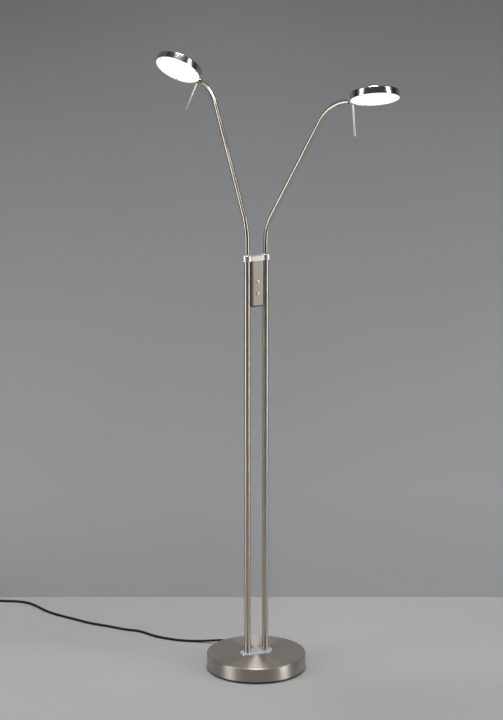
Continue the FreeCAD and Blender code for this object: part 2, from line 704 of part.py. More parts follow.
def make_arm(side, x, bearing):
    """Bent tube: upright tail in the pole, lower bend, straight slant, upper bend, short tip."""
    body = new_body("arm_" + side)
    path = new_sketch(body, "ArmPath", "XZ_Plane")
    low = math.radians(size("arm_low_turn"))
    end = low + math.radians(size("arm_high_turn"))
    bend, high_bend = size("arm_low_bend"), size("arm_high_bend")
    start = Vector(0, size("arm_bottom"), 0)
    knee = Vector(0, size("arm_bend_start"), 0)
    middle = knee + Vector(bend, 0, 0)
    after_knee = middle + Vector(-math.cos(low), math.sin(low), 0) * bend
    slant_end = after_knee + Vector(math.sin(low), math.cos(low), 0) * size("arm_slant")
    high_middle = slant_end + Vector(math.cos(low), -math.sin(low), 0) * high_bend
    tip_start = high_middle + Vector(-math.cos(end), math.sin(end), 0) * high_bend
    tip_length = size("arm_tip - seat_front - seat_flange")
    tip = tip_start + Vector(math.sin(end), math.cos(end), 0) * tip_length
    path.addGeometry(Part.LineSegment(start, knee))
    low_circle = Part.Circle(middle, Vector(0, 0, 1), bend)
    path.addGeometry(Part.ArcOfCircle(low_circle, math.pi - low, math.pi))
    path.addGeometry(Part.LineSegment(after_knee, slant_end))
    high_circle = Part.Circle(high_middle, Vector(0, 0, 1), high_bend)
    path.addGeometry(Part.ArcOfCircle(high_circle, math.pi - end, math.pi - low))
    path.addGeometry(Part.LineSegment(tip_start, tip))
    for one, at, other, to in ((0, 2, 1, 2), (1, 1, 2, 1), (2, 2, 3, 2), (3, 1, 4, 1)):
        path.addConstraint(Sketcher.Constraint("Tangent", one, at, other, to))
    hold(path, "DistanceX", -1, 1, 0, 1, to="0")
    hold(path, "DistanceY", -1, 1, 0, 1, to="arm_bottom")
    hold(path, "DistanceX", -1, 1, 0, 2, to="0")
    hold(path, "DistanceY", -1, 1, 0, 2, to="arm_bend_start")
    hold(path, "Radius", 1, to="arm_low_bend")
    hold(path, "Radius", 3, to="arm_high_bend")
    hold(path, "Distance", 2, to="arm_slant")
    hold(path, "Distance", 4, to="arm_tip - seat_front - seat_flange")
    turn_of(path, 1, "arm_low_turn")
    turn_of(path, 3, "arm_high_turn")
    ring = circles(body, "ArmSection", "XY_Plane",
                   [("0", "0", "arm_radius"), ("0", "0", "arm_radius - arm_wall")], lift="arm_bottom")
    doc.recompute()
    pipe = body.newObject("PartDesign::AdditivePipe", "ArmPipe")
    pipe.Profile = ring
    pipe.Spine = (path, ["Edge%d" % (i + 1) for i in range(5)])
    place(body, "placement(vector(%s; 0; 0); rotationz(%s))" % (x, bearing))


def turn_of(drawn, arc, angle):
    """Ties the sweep of an arc in a sketch to an angle in degrees."""
    number = drawn.addConstraint(Sketcher.Constraint("Angle", arc, math.radians(size(angle))))
    drawn.setExpression("Constraints[%d]" % number, bound("(%s) * 1 deg" % angle))


def ball_centre(bearing, x):
    """Expressions for the middle of the ball at the end of an arm, and the tip's rise."""
    low, end = "arm_low_turn * 1 deg", "(arm_low_turn + arm_high_turn) * 1 deg"
    out = ("(arm_low_bend * (1 - cos(%s)) + arm_slant * sin(%s) + arm_high_bend *"
           " (cos(%s) - cos(%s)) + arm_tip * sin(%s))" % (low, low, low, end, end))
    up = ("(arm_bend_start + arm_low_bend * sin(%s) + arm_slant * cos(%s) + arm_high_bend *"
          " (sin(%s) - sin(%s)) + arm_tip * cos(%s))" % (low, low, end, low, end))
    swing = "(%s) * 1 deg" % bearing
    return "vector(%s + %s * cos(%s); %s * sin(%s); %s)" % (x, out, swing, out, swing, up)


# ---------------------------------------------------------------- heads
def make_ball_seat(side, x, bearing):
    """Plastic bush in the arm's tip whose hollow face carries the ball; it turns in the tube."""
    body = new_body("ball_seat_" + side)
    back = "seat_front + seat_flange"
    stem = "arm_radius - arm_wall - slide_gap"
    drawn = outline(body, "SeatProfile", "XY_Plane", [
        ("0 - (%s) - seat_stem" % back, "seat_bore"), ("0 - (%s) - seat_stem" % back, stem),
        ("0 - (%s)" % back, stem), ("0 - (%s)" % back, "arm_radius"),
        ("0 - seat_front - seat_edge", "arm_radius"), ("0 - seat_front", "arm_radius - seat_edge"),
        ("0 - seat_front", "seat_bore")])
    turn(body, "SeatTurned", drawn, axis="H_Axis")
    hollow = new_sketch(body, "Hollow", "XY_Plane")
    radius = size("ball_radius + seat_gap")
    hollow.addGeometry(Part.LineSegment(Vector(-radius, 0, 0), Vector(radius, 0, 0)))
    whole = Part.Circle(Vector(0, 0, 0), Vector(0, 0, 1), radius)
    hollow.addGeometry(Part.ArcOfCircle(whole, 0, math.pi))
    hollow.addConstraint(Sketcher.Constraint("Coincident", 0, 2, 1, 1))
    hollow.addConstraint(Sketcher.Constraint("Coincident", 0, 1, 1, 2))
    hollow.addConstraint(Sketcher.Constraint("Coincident", 1, 3, -1, 1))
    hollow.addConstraint(Sketcher.Constraint("PointOnObject", 0, 1, -1))
    hold(hollow, "Radius", 1, to="ball_radius + seat_gap")
    groove = body.newObject("PartDesign::Groove", "HollowCut")
    groove.Profile = hollow
    groove.ReferenceAxis = (hollow, ["H_Axis"])
    groove.Angle = 360
    rise = "90 - arm_low_turn - arm_high_turn"
    place(body, "placement(%s; rotationz(%s) * rotationy(0 - (%s)))"
          % (ball_centre(bearing, x), bearing, rise))


def head_place(body, x, arm_bearing, side):
    """The head's own X runs from the ball to the head's middle, and its lit face looks to -Z."""
    place(body, "placement(%s; rotationz(head_%s_bearing) * rotationy(0 - head_%s_rise)"
          " * rotationx(head_%s_roll))" % (ball_centre(arm_bearing, x), side, side, side))


def make_head_ball(side):
    """Ball, neck through the head's wall, and a socket for the handle rod."""
    body = new_body("head_ball_" + side)
    drawn = new_sketch(body, "BallProfile", "XY_Plane")
    end = "head_gap + head_wall + neck_nut_gap + neck_nut_thick + thread_spare"
    shoulder = "head_gap - fit_gap"
    ball, neck = size("ball_radius"), size("neck_radius")
    meet = math.sqrt(ball * ball - neck * neck)
    corners = [("0 - ball_radius", "0"), (end, "0"), (end, "thread_radius"),
               (shoulder, "thread_radius"), (shoulder, "neck_radius")]
    spots = [Vector(size(x), size(y), 0) for x, y in corners] + [Vector(meet, neck, 0)]
    for i, spot in enumerate(spots[1:]):
        drawn.addGeometry(Part.LineSegment(spots[i], spot))
    for i in range(1, len(corners)):
        drawn.addConstraint(Sketcher.Constraint("Coincident", i - 1, 2, i, 1))
        hold(drawn, "DistanceX", -1, 1, i, 1, to=corners[i][0])
        hold(drawn, "DistanceY", -1, 1, i, 1, to=corners[i][1])
    whole = Part.Circle(Vector(0, 0, 0), Vector(0, 0, 1), ball)
    arc = drawn.addGeometry(Part.ArcOfCircle(whole, math.atan2(neck, meet), math.pi))
    drawn.addConstraint(Sketcher.Constraint("Coincident", arc, 1, arc - 1, 2))
    drawn.addConstraint(Sketcher.Constraint("Coincident", arc, 2, 0, 1))
    drawn.addConstraint(Sketcher.Constraint("Coincident", arc, 3, -1, 1))
    drawn.addConstraint(Sketcher.Constraint("PointOnObject", 0, 1, -1))
    drawn.addConstraint(Sketcher.Constraint("Horizontal", arc - 1))
    hold(drawn, "Radius", arc, to="ball_radius")
    turn(body, "BallTurned", drawn, axis="H_Axis")
    socket = circles(body, "RodSocket", "XY_Plane", [("rod_offset", "0", "rod_radius + slide_gap")],
                     lift="0 - ball_radius - 1")
    cut(body, "RodSocketCut", socket, "ball_radius + 1 - rod_socket", along_normal=True)
    return body


def make_handle_rod(side):
    body = new_body("handle_rod_" + side)
    tip = circles(body, "Rod", "XY_Plane", [("rod_offset", "0", "rod_radius")], lift="0 - rod_socket")
    pad(body, "RodPad", tip, "rod_length - rod_socket", down=True)
    soften(body, "RodEnd", "rod_edge", round_edge("rod_radius", "0 - rod_length"))
    return body


def make_neck_nut(side):
    body = new_body("neck_nut_" + side)
    seat = "head_gap + head_wall + neck_nut_gap"
    nut = hexagons(body, "Nut", "YZ_Plane", [("0", "0")], "neck_nut_flats", lift=seat)
    pad(body, "NutPad", nut, "neck_nut_thick")
    thread = circles(body, "Thread", "YZ_Plane", [("0", "0", "thread_radius + slide_gap")], lift=seat)
    cut(body, "ThreadCut", thread, "neck_nut_thick", along_normal=True)
    return body


MIDDLE = "head_gap + head_radius"
FACE = "0 - head_depth / 2"
BACK = "head_depth / 2"
LEDGE = "0 - head_depth / 2 + diffuser_sunk + diffuser_thick"


def head_rounds(circle, start, radius):
    return [("%s + %s" % (MIDDLE, x), y, r) for x, y, r in around(circle, start, radius)]


def make_head_shell(side):
    """Shallow metal cup with a thin rim, a ledge for the diffuser and three screw bosses."""
    body = new_body("head_shell_" + side)
    inner = "head_radius - head_wall"
    solid = circles(body, "Outside", "XY_Plane", [(MIDDLE, "0", "head_radius")], lift=FACE)
    pad(body, "OutsidePad", solid, "head_depth")
    soften(body, "BackEdge", "head_edge", round_edge("head_radius", BACK))
    rebate = circles(body, "Rebate", "XY_Plane", [(MIDDLE, "0", "head_radius - head_lip")], lift=FACE)
    cut(body, "RebateCut", rebate, "diffuser_sunk + diffuser_thick", along_normal=True)
    hollow = circles(body, "Hollow", "XY_Plane", [(MIDDLE, "0", inner)], lift=LEDGE)
    depth = "head_depth - diffuser_sunk - diffuser_thick - head_top_wall"
    cut(body, "HollowCut", hollow, depth, along_normal=True)
    start = "head_%s_screws" % side
    bosses = circles(body, "Bosses", "XY_Plane", head_rounds("boss_circle", start, "boss_radius"),
                     lift=LEDGE)
    pad(body, "BossesPad", bosses, depth)
    pilots = circles(body, "Pilots", "XY_Plane",
                     head_rounds("boss_circle", start, "lens_screw_radius + slide_gap"), lift=LEDGE)
    cut(body, "PilotsCut", pilots, "lens_screw_length", along_normal=True)
    hole = circles(body, "NeckHole", "YZ_Plane", [("0", "0", "thread_radius + slide_gap")])
    cut(body, "NeckHoleCut", hole, "head_gap + head_wall + 3", along_normal=True)
    return body


def make_disc(label, radius, bottom, thick, holes=None):
    body = new_body(label)
    disc = circles(body, "Disc", "XY_Plane", [(MIDDLE, "0", radius)], lift=bottom)
    pad(body, "DiscPad", disc, thick)
    if holes:
        drawn = circles(body, "Holes", "XY_Plane", holes, lift=bottom)
        cut(body, "HolesCut", drawn, thick, along_normal=True)
    return body


def make_lens_screws(side):
    """Three small screws that hold the diffuser's edge on the bosses."""
    body = new_body("diffuser_screws_" + side)
    compound_allowed(body)
    start = "head_%s_screws" % side
    seat = "%s + diffuser_sunk" % FACE
    heads = circles(body, "Heads", "XY_Plane", head_rounds("boss_circle", start, "lens_screw_head"),
                    lift=seat)
    pad(body, "HeadsPad", heads, "diffuser_sunk", down=True)
    shanks = circles(body, "Shanks", "XY_Plane",
                     head_rounds("boss_circle", start, "lens_screw_radius - slide_gap"), lift=seat)
    pad(body, "ShanksPad", shanks, "lens_screw_length")
    return body


def make_led_screws(side):
    """Three screws through the LED board into the heat spreader."""
    body = new_body("led_screws_" + side)
    compound_allowed(body)
    seat = "%s - head_top_wall - spreader_thick - led_board_thick" % BACK
    heads = circles(body, "Heads", "XY_Plane", head_rounds("led_screw_circle", "0", "lens_screw_head"),
                    lift=seat)
    pad(body, "HeadsPad", heads, "1.2", down=True)
    shanks = circles(body, "Shanks", "XY_Plane",
                     head_rounds("led_screw_circle", "0", "lens_screw_radius - slide_gap"), lift=seat)
    pad(body, "ShanksPad", shanks, "led_board_thick + spreader_thick - 0.5")
    return body


def make_head(side, x, arm_bearing):
    start = "head_%s_screws" % side
    spreader_low = "%s - head_top_wall - spreader_thick" % BACK
    pieces = [
        make_head_ball(side),
        make_handle_rod(side),
        make_neck_nut(side),
        make_head_shell(side),
        make_disc("heat_spreader_" + side, "spreader_radius", spreader_low, "spreader_thick",
                  head_rounds("led_screw_circle", "0", "lens_screw_radius")),
        make_disc("led_board_" + side, "led_board_radius", spreader_low + " - led_board_thick",
                  "led_board_thick", head_rounds("led_screw_circle", "0", "lens_screw_radius")),
        make_led_screws(side),
        make_disc("diffuser_" + side, "head_radius - head_lip - fit_gap", FACE + " + diffuser_sunk",
                  "diffuser_thick", head_rounds("boss_circle", start, "lens_screw_radius")),
        make_lens_screws(side),
    ]
    for piece in pieces:
        head_place(piece, x, arm_bearing, side)


# ---------------------------------------------------------------- mains cord
def make_cord_gland():
    """Gland moulded onto the cord: two flanges hold the wall, a tapered sleeve outside."""
    body = new_body("cord_gland")
    wall_in = "base_radius - cover_wall - fit_gap"
    wall_out = "base_radius + fit_gap"
    neck = "gland_slot - fit_gap"
    drawn = outline(body, "GlandProfile", "XY_Plane", [
        ("0", wall_in + " - gland_flange"), ("gland_collar", wall_in + " - gland_flange"),
        ("gland_collar", wall_in), (neck, wall_in), (neck, wall_out), ("gland_collar", wall_out),
        ("gland_collar", wall_out + " + gland_flange"), ("gland_thick", wall_out + " + gland_flange"),
        ("gland_thin", wall_out + " + gland_flange + gland_sleeve"),
        ("0", wall_out + " + gland_flange + gland_sleeve")])
    turn(body, "GlandTurned", drawn)
    place(body, "placement(vector(0; 0; gland_height); rotationz(0))")


def free_piece(label, shape):
    made = doc.addObject("Part::Feature", label)
    made.Label = label
    made.Shape = shape
    nodes.append(made)
    return made


def arc_at(start, corner, end):
    """Arc that touches both legs of a corner, from start to end at equal distances from it."""
    middle = (start + end) * 0.5
    half_chord = (end - start).Length / 2
    turn_half = math.atan2((corner - middle).Length, half_chord)
    top = middle + (corner - middle) * (math.tan(turn_half / 2) / math.tan(turn_half))
    return Part.Arc(start, top, end).toShape()


def cord_tube(path):
    """Round tube along a tangent path."""
    start = path.Edges[0].valueAt(path.Edges[0].FirstParameter)
    heading = path.Edges[0].tangentAt(path.Edges[0].FirstParameter)
    ring = Part.Wire(Part.makeCircle(size("cord_radius"), start, heading))
    return path.makePipeShell([ring], True, False)


def make_cord_run():
    """Free stretch of the cord, from the gland down to the floor and away to the left."""
    exit_y = size("base_radius + fit_gap + gland_flange + gland_sleeve")
    floor = size("cord_radius")
    high = size("gland_height")
    route = [Vector(0, exit_y, high)] + [Vector(*spot) for spot in (
        (0, 181, high), (-26, 207, 7), (-57, 229, floor), (-96, 255, floor), (-124, 287, floor),
        (-146, 322, floor), (-161, 370, floor), (-190, 393, floor), (-221, 440, floor),
        (-258, 485, floor), (-279, 529, floor), (-309, 582, floor), (-326, 628, floor),
        (-334, 688, floor), (-354, 727, floor), (-395, 752, floor), (-426, 774, floor),
        (-454, 790, floor))]
    edges = []
    at = route[0]
    for before, corner, after in zip(route, route[1:], route[2:]):
        into, out = (corner - before), (after - corner)
        reach = 0.45 * min(into.Length, out.Length)
        turned = into.getAngle(out)
        print("cord bend", round(reach / math.tan(turned / 2)), "mm")
        start = corner - into.normalize() * reach
        end = corner + out.normalize() * reach
        edges += [Part.LineSegment(at, start).toShape(), arc_at(start, corner, end)]
        at = end
    edges.append(Part.LineSegment(at, route[-1]).toShape())
    path = Part.Wire(edges)
    shape = cord_tube(path)
    report_cord("cord run", path, shape)
    free_piece("cord_run", shape)
    heading = (route[-1] - route[-2]).normalize()
    return route[-1], heading


def report_cord(name, path, shape):
    plain = math.pi * size("cord_radius") ** 2 * path.Length
    print(name, round(path.Length), "mm long, volume", round(shape.Volume / plain, 4), "of its section")


def double_arc(start, heading, end, leaving):
    """Two arcs from start to end that leave and arrive in the given directions."""
    chord = end - start
    both = heading + leaving
    a = both.dot(both) - 4
    b = -2 * chord.dot(both)
    c = chord.dot(chord)
    reach = c / -b if abs(a) < 1e-9 else (-b - math.sqrt(b * b - 4 * a * c)) / (2 * a)
    first = start + heading * reach
    second = end - leaving * reach
    joint = (first + second) * 0.5
    return [arc_at(start, first, joint), arc_at(joint, second, end)]


def make_cord_coil(start, heading):
    """Put-away length in two layers: it winds in on the floor, climbs, and winds out on top."""
    lead = size("cord_lead")
    pitch = size("coil_pitch")
    outer = size("coil_outer")
    turns_in = size("coil_turns_in")
    turns_all = size("coil_turns")
    sideways = Vector(-heading.y, heading.x, 0)
    entry = start + heading * lead
    centre = entry + sideways * outer
    first = math.atan2(-sideways.y, -sideways.x)

    def spot(turns):
        """Point on the coil's centre line after a number of turns."""
        radius = outer - pitch * (turns_in - abs(turns_in - turns))
        climbed = min(max((turns - turns_in) / 0.5 + 0.5, 0), 1)
        ease = climbed * climbed * (3 - 2 * climbed)
        angle = first + 2 * math.pi * turns
        flat = Vector(math.cos(angle), math.sin(angle), 0) * radius
        return centre + flat + Vector(0, 0, pitch * ease)

    def direction(turns):
        step = 1e-4
        return (spot(turns + step) - spot(turns - step)).normalize()

    edges = [Part.LineSegment(start, entry).toShape()]
    count = round(turns_all * 4)
    here, way = spot(0), heading
    for quarter in range(1, count + 1):
        there, then = spot(quarter / 4), direction(quarter / 4)
        edges += double_arc(here, way, there, then)
        here, way = there, then
    flat_way = Vector(way.x, way.y, 0).normalize()
    drop = Vector(0, 0, size("plug_half_thick") - here.z)
    tail = here + flat_way * size("coil_tail") + drop
    edges += double_arc(here, way, tail, flat_way)
    end = tail + flat_way * lead
    edges.append(Part.LineSegment(tail, end).toShape())
    path = Part.Wire(edges)
    shape = cord_tube(path)
    report_cord("cord coil", path, shape)
    print("least gap of the coil to itself", round(least_gap(path), 2), "mm")
    free_piece("cord_coil", shape)
    return end, flat_way


def least_gap(path):
    """Least surface gap between stretches of a tube more than half a turn apart."""
    spots = path.discretize(Number=700)
    apart = int(700 * 0.6 * 2 * math.pi * size("coil_outer") / path.Length / 1.4)
    nearest = min((a - b).Length for i, a in enumerate(spots) for b in spots[i + apart:])
    return nearest - 2 * size("cord_radius")


def make_plug(end, heading):
    """Flat moulded two-pin plug on the end of the cord, lying beside the coil."""
    angle = math.degrees(math.atan2(heading.y, heading.x))
    axis = Rotation(Vector(0, 0, 1), angle)
    seat = Placement(end, axis)
    body = new_body("plug_body")
    half, nose, long = "plug_half_width", "plug_nose", "plug_boot + plug_length"
    grip = outline(body, "Grip", "XY_Plane", [
        ("plug_boot", "0 - plug_boot_end"), (long + " - plug_nose", "0 - plug_half_width"),
        (long, "0 - plug_half_width"), (long, "plug_half_width"),
        (long + " - plug_nose", "plug_half_width"), ("plug_boot", "plug_boot_end")],
        lift="0 - plug_half_thick")
    pad(body, "GripPad", grip, "2 * plug_half_thick")
    soften(body, "GripEdges", "plug_edge", upright_edge("2 * plug_half_thick"))
    boot = outline(body, "Boot", "XY_Plane", [
        ("0", "0"), ("0", "cord_radius + 1"), ("plug_boot + 1", "plug_boot_end - 1"),
        ("plug_boot + 1", "0")])
    turn(body, "BootTurned", boot, axis="H_Axis")
    body.Placement = seat
    pins = new_body("plug_pins")
    compound_allowed(pins)
    ends = circles(pins, "Pins", "YZ_Plane",
                   [("0 - plug_pin_spacing / 2", "0", "plug_pin_radius"),
                    ("plug_pin_spacing / 2", "0", "plug_pin_radius")], lift=long)
    pad(pins, "PinsPad", ends, "plug_pin_length")
    pins.Placement = seat


# ---------------------------------------------------------------- the whole lamp
make_base_cover()
make_base_weight()
make_base_bottom()
make_base_screws()
make_foot_pad()
make_power_supply()
make_pole_plate()
make_poles()
make_pole_fixings()
make_bridge()
make_grub_screws()
make_box_housing()
make_box_rear()
make_rear_screws()
make_box_screws()
make_box_cap()
make_switch_board()
make_push_switches()
make_button("button_upper", "button_high")
make_button("button_lower", "button_low")
make_arm_supports()
for side, place_x, bearing in (("left", LEFT, "arm_left_bearing"), ("right", RIGHT, "arm_right_bearing")):
    make_arm(side, place_x, bearing)
    make_ball_seat(side, place_x, bearing)
    make_head(side, place_x, bearing)
make_cord_gland()
cord_end, cord_heading = make_cord_run()
coil_end, coil_heading = make_cord_coil(cord_end, cord_heading)
make_plug(coil_end, coil_heading)
doc.recompute()

# ---------------------------------------------------------------- checks and files
for item in doc.Objects:
    if "Invalid" in item.State or "Error" in item.State:
        raise SystemExit("%s is not valid: %s" % (item.Label, item.State))
for node in nodes:
    if node.Shape.isNull() or not node.Shape.isValid():
        raise SystemExit("%s has no valid shape" % node.Label)
for node in nodes:
    node.Shape.exportStep("parts/%s.step" % node.Label)
    print(node.Label, len(node.Shape.Solids), round(node.Shape.Volume))
print(len(nodes), "nodes")
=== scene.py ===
"""Floor lamp with twin poles, bent swivelling arms and flat reading heads on ball joints."""
import json
import math

import bmesh
import bpy
from mathutils import Matrix, Vector


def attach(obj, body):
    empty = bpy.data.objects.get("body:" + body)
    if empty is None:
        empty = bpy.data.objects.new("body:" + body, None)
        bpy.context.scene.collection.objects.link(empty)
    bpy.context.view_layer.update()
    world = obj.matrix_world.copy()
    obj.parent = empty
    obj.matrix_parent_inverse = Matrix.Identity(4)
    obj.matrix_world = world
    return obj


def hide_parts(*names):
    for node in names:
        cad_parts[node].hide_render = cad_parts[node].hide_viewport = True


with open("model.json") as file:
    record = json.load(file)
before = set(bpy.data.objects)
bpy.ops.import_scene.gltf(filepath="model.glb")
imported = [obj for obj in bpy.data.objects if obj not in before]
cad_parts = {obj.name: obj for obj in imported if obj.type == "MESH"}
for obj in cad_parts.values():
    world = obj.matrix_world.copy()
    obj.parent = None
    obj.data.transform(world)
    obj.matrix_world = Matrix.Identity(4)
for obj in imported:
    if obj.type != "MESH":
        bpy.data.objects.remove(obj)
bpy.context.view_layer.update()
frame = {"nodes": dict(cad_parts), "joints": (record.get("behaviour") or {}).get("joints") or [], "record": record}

# ---------------------------------------------------------------------------------------------
# Studio: a pale floor that meets a grey wall behind the lamp, a tall soft box that stands on the
# floor at each side, one soft box above, and a camera at standing height that looks down on the
# lamp from its front left.
# ---------------------------------------------------------------------------------------------
CAMERA_PLACE = Vector((-2.660, -5.388, 2.2535))
CAMERA_RIGHT = Vector((0.89756, -0.44088, 0.0))
CAMERA_AHEAD = Vector((0.42856, 0.87247, -0.23481)).normalized()
LENS = 125.28
WALL_BEHIND = 0.542
ROOM_AHEAD = Vector((CAMERA_AHEAD.x, CAMERA_AHEAD.y, 0.0)).normalized()
FLOOR_GREY = 0.395
# The wall is painted lighter low down and darker high up: painted shade, where the light on the wall falls off
# towards its top.
WALL_LOW = (0.455, 0.463, 0.477, 1.0)
WALL_TOP_PAINTED_SHADE = (0.100, 0.104, 0.105, 1.0)
WALL_SHADE_FADE = (0.3, 1.75)
MOTTLE_SIZE = 1.3
MOTTLE = 0.08
SHEET_REACH = 7.0
SHEET_NEAR = 9.0
SHEET_DROP = 0.0003
ROOM_TINT = (0.82, 0.83, 0.85, 1.0)
ROOM_STRENGTH = 0.07
# Distance across and ahead as the camera sees them, height, height aimed at, width, length, watts.
SOFT_BOXES = {"left_box": (-1.62, -0.80, 1.62, 1.62, 0.60, 3.2, 20),
              "right_box": (1.67, -0.66, 1.62, 1.62, 0.50, 3.2, 20),
              "top_box": (0.0, -0.05, 3.4, 0.2, 0.9, 0.55, 72)}


class Amount:
    """Number that changes over a surface; arithmetic on it builds the maths nodes."""

    def __init__(self, finish, socket):
        self.finish = finish
        self.socket = socket

    def sum_of(self, operation, first, second):
        return self.finish.node("ShaderNodeMath", {"operation": operation}, {0: first, 1: second})

    def __add__(self, other):
        return self.sum_of("ADD", self, other)

    def __radd__(self, other):
        return self.sum_of("ADD", other, self)

    def __sub__(self, other):
        return self.sum_of("SUBTRACT", self, other)

    def __rsub__(self, other):
        return self.sum_of("SUBTRACT", other, self)

    def __mul__(self, other):
        return self.sum_of("MULTIPLY", self, other)

    def __rmul__(self, other):
        return self.sum_of("MULTIPLY", other, self)

    def __gt__(self, other):
        return self.sum_of("GREATER_THAN", self, other)


class Finish:
    """Material of one slot of the lamp, with its constants on the shader's own sockets."""

    def __init__(self, name, constants):
        self.material = bpy.data.materials.new(name)
        self.material.use_nodes = True
        self.tree = self.material.node_tree
        self.shader = self.tree.nodes["Principled BSDF"]
        for socket, value in constants.items():
            self.shader.inputs[socket].default_value = value

    def node(self, kind, settings, sockets, out=0):
        made = self.tree.nodes.new(kind)
        for key, value in settings.items():
            setattr(made, key, value)
        for key, value in sockets.items():
            if isinstance(value, Amount):
                self.tree.links.new(value.socket, made.inputs[key])
            else:
                made.inputs[key].default_value = value
        return Amount(self, made.outputs[out])

    def place(self, stretch=(1, 1, 1), middle=(0, 0, 0), turned=(0, 0, 0)):
        """Object coordinates, seen from a middle and turn of their own, then stretched."""
        own = self.node("ShaderNodeTexCoord", {}, {}, out=3)
        if any(middle) or any(turned):
            own = self.node("ShaderNodeMapping", {"vector_type": "TEXTURE"},
                            {"Vector": own, "Location": middle, "Rotation": turned})
        return self.node("ShaderNodeVectorMath", {"operation": "MULTIPLY"}, {0: own, 1: stretch})

    def noise(self, where, scale, detail=3.0, rough=0.55):
        return self.node("ShaderNodeTexNoise", {},
                         {"Vector": where, "Scale": scale, "Detail": detail, "Roughness": rough})

    def blend(self, factor, first, second):
        return self.node("ShaderNodeMix", {"data_type": "RGBA"},
                         {0: factor, 6: first, 7: second}, out=2)

    def span(self, value, low, high, to_low=0.0, to_high=1.0):
        return self.node("ShaderNodeMapRange", {},
                         {"Value": value, "From Min": low, "From Max": high,
                          "To Min": to_low, "To Max": to_high})

    def feed(self, socket, value):
        self.tree.links.new(value.socket, self.shader.inputs[socket])

    def relief(self, height, depth, strength=1.0):
        """Bump of a depth in metres."""
        self.feed("Normal", self.node("ShaderNodeBump", {},
                                      {"Height": height, "Distance": depth, "Strength": strength}))


def grey(level, warm=0.0):
    return (level * (1 + warm), level, level * (1 - warm), 1.0)


def stage_sheet(name, corners, low, high):
    """Flat sheet of floor or wall, its colour blended from one value low down to another high up;
    on the wall this is painted shade, darker towards the top. It is invisible from behind."""
    mesh = bpy.data.meshes.new(name)
    mesh.from_pydata(corners, [], [range(len(corners))])
    sheet = bpy.data.objects.new(name, mesh)
    bpy.context.scene.collection.objects.link(sheet)
    paper = Finish(name + "_paint", {"Roughness": 0.9, "Specular IOR Level": 0.2})
    spot = paper.place()
    height = paper.node("ShaderNodeSeparateXYZ", {}, {0: spot}, out=2)
    mottle = paper.noise(spot, MOTTLE_SIZE, 2.0) * MOTTLE - MOTTLE / 2
    paper.feed("Base Color", paper.blend(paper.span(height, *WALL_SHADE_FADE) + mottle, low, high))
    clear = paper.node("ShaderNodeBsdfTransparent", {}, {})
    behind = paper.node("ShaderNodeNewGeometry", {}, {}, out=6)
    solid = Amount(paper, paper.shader.outputs[0])
    mixed = paper.node("ShaderNodeMixShader", {}, {0: behind, 1: solid, 2: clear})
    paper.tree.links.new(mixed.socket, paper.tree.nodes["Material Output"].inputs["Surface"])
    mesh.materials.append(paper.material)


wide = CAMERA_RIGHT * SHEET_REACH
wall_foot = ROOM_AHEAD * WALL_BEHIND
rise = Vector((0, 0, SHEET_REACH))
near = ROOM_AHEAD * -SHEET_NEAR
floor_level = Vector((0, 0, -SHEET_DROP))
stage_sheet("floor", [floor_level + near - wide, floor_level + near + wide,
                      floor_level + wall_foot + wide, floor_level + wall_foot - wide],
            grey(FLOOR_GREY), grey(FLOOR_GREY))
stage_sheet("wall", [floor_level + wall_foot - wide, floor_level + wall_foot + wide,
                     wall_foot + wide + rise, wall_foot - wide + rise], WALL_LOW, WALL_TOP_PAINTED_SHADE)

for name, (across, ahead, height, aim, width, length, watts) in SOFT_BOXES.items():
    lamp_data = bpy.data.lights.new(name, "AREA")
    lamp_data.shape = "RECTANGLE"
    lamp_data.size, lamp_data.size_y = width, length
    lamp_data.energy = watts
    lamp = bpy.data.objects.new(name, lamp_data)
    spot = CAMERA_RIGHT * across + ROOM_AHEAD * ahead + Vector((0, 0, height))
    facing = (Vector((0, 0, aim)) - spot).to_track_quat("-Z", "Y")
    lamp.matrix_world = Matrix.Translation(spot) @ facing.to_matrix().to_4x4()
    bpy.context.scene.collection.objects.link(lamp)

world = bpy.data.worlds.new("room")
bpy.context.scene.world = world
world.use_nodes = True
room_light = world.node_tree.nodes["Background"].inputs
room_light["Color"].default_value = ROOM_TINT
room_light["Strength"].default_value = ROOM_STRENGTH

camera_data = bpy.data.cameras.new("camera")
camera_data.lens = LENS
camera_data.sensor_width = 36.0
camera_data.clip_end = 50.0
camera = bpy.data.objects.new("camera", camera_data)
camera_up = CAMERA_RIGHT.cross(CAMERA_AHEAD)
turn = Matrix((CAMERA_RIGHT, camera_up, -CAMERA_AHEAD)).transposed().to_4x4()
camera.matrix_world = Matrix.Translation(CAMERA_PLACE) @ turn
bpy.context.scene.collection.objects.link(camera)
bpy.context.scene.camera = camera
bpy.context.scene.view_settings.view_transform = "Standard"

# ---------------------------------------------------------------------------------------------
# Mains cord: round black rubber-sheathed lead, 6 mm thick. It leaves the base at the rear, drops
# to the floor and wanders off to the left; the length that isn't in view lies in a small coil.
# ---------------------------------------------------------------------------------------------
CORD_RADIUS = 0.003
CORD_EXIT = (0.0, 0.1508, 0.013)
CORD_ROUTE = [
    (0, 0.181, 0.013), (-0.026, 0.207, 0.007), (-0.057, 0.229, 0.003), (-0.096, 0.255, 0.003),
    (-0.124, 0.287, 0.003), (-0.146, 0.322, 0.003), (-0.161, 0.370, 0.003),
    (-0.190, 0.393, 0.003), (-0.221, 0.440, 0.003), (-0.258, 0.485, 0.003),
    (-0.279, 0.529, 0.003), (-0.309, 0.582, 0.003), (-0.326, 0.628, 0.003),
    (-0.334, 0.688, 0.003), (-0.354, 0.727, 0.003), (-0.395, 0.752, 0.003),
    (-0.426, 0.774, 0.003), (-0.454, 0.790, 0.003)]
COIL_OUTER = 0.0396
COIL_PITCH = 0.0066
COIL_LEAD = 0.006
COIL_TURNS_IN = 2.0
COIL_TURNS = 4.25
CLIMB_TURNS = 0.5
COIL_TAIL = 0.045
